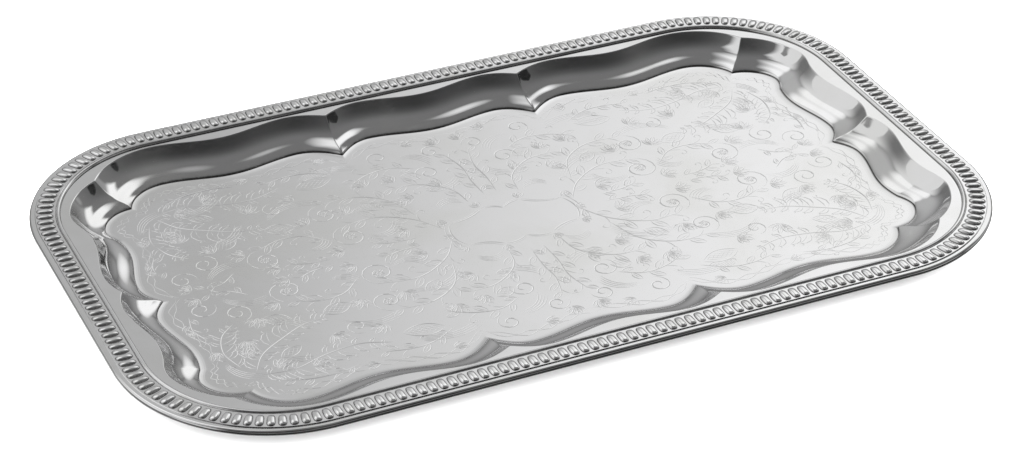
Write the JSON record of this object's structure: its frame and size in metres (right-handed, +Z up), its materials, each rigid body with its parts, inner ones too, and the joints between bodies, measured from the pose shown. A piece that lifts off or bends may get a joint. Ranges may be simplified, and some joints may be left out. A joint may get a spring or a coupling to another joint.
{
  "type": "salver",
  "caption": "Rectangular silver salver: scalloped shallow well, gadrooned border soldered on the flange, beaded inner edge and wired rolled rim.",
  "frame": {"origin": "centre of the flat underside of the pan's floor, which rests on the table", "axes": "+X along the longer side, +Y across the tray, +Z up out of the well"},
  "size_m": [0.53, 0.325, 0.016],
  "materials": {
    "polished_silver": "mirror polished silver plate with fine wiping scratches",
    "stamped_silver": "bright stamped silver plate",
    "drawn_silver": "bright drawn half-round wire",
    "tinned_iron": "tinned iron wire, inside the rolled edge"
  },
  "bodies": {
    "root": {"tray_pan": "polished_silver", "edge_core_wire": "tinned_iron", "inner_bead_wire": "drawn_silver", "border_right": "stamped_silver", "border_back": "stamped_silver", "border_left": "stamped_silver", "border_front": "stamped_silver", "border_corner_back_right": "stamped_silver", "border_corner_back_left": "stamped_silver", "border_corner_front_left": "stamped_silver", "border_corner_front_right": "stamped_silver"}
  },
  "joints": []
}
